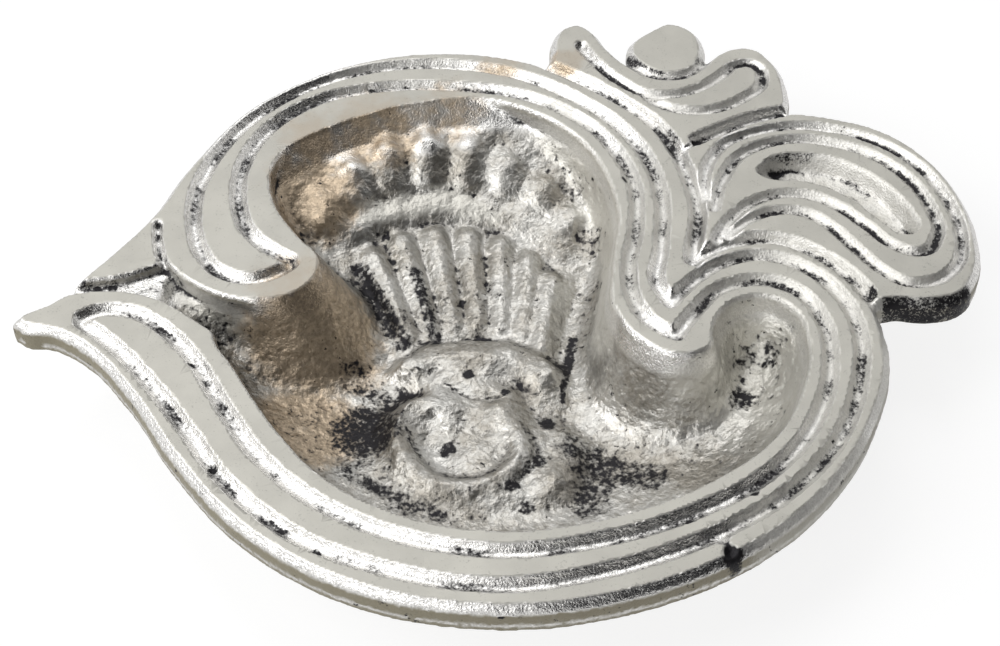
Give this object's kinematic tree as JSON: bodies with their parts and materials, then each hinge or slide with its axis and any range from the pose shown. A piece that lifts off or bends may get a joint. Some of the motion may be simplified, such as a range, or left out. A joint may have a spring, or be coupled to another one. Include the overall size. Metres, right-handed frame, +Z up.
{
  "type": "aarti lamp",
  "caption": "Om-shaped cast metal aarti lamp: grooved border round a shallow oil bowl with a raised crowned elephant head, a wick channel, and the sign's tail, crescent and dot.",
  "frame": {"origin": "centre of the flat standing face under the bowl", "axes": "+Z up out of the bowl, +X to the right across the sign, +Y to the top of the sign"},
  "size_m": [0.134, 0.1147, 0.0165],
  "materials": {
    "bowl_metal": "as cast, silvery, with dark oxide left in the hollows",
    "border_metal": "ridge tops ground flat and matte, grooves rough and blackened"
  },
  "bodies": {
    "root": {"bowl": "bowl_metal", "crown": "bowl_metal", "head_relief": "bowl_metal", "border": "border_metal", "tail": "border_metal", "crescent": "border_metal", "dot": "border_metal"}
  },
  "joints": []
}
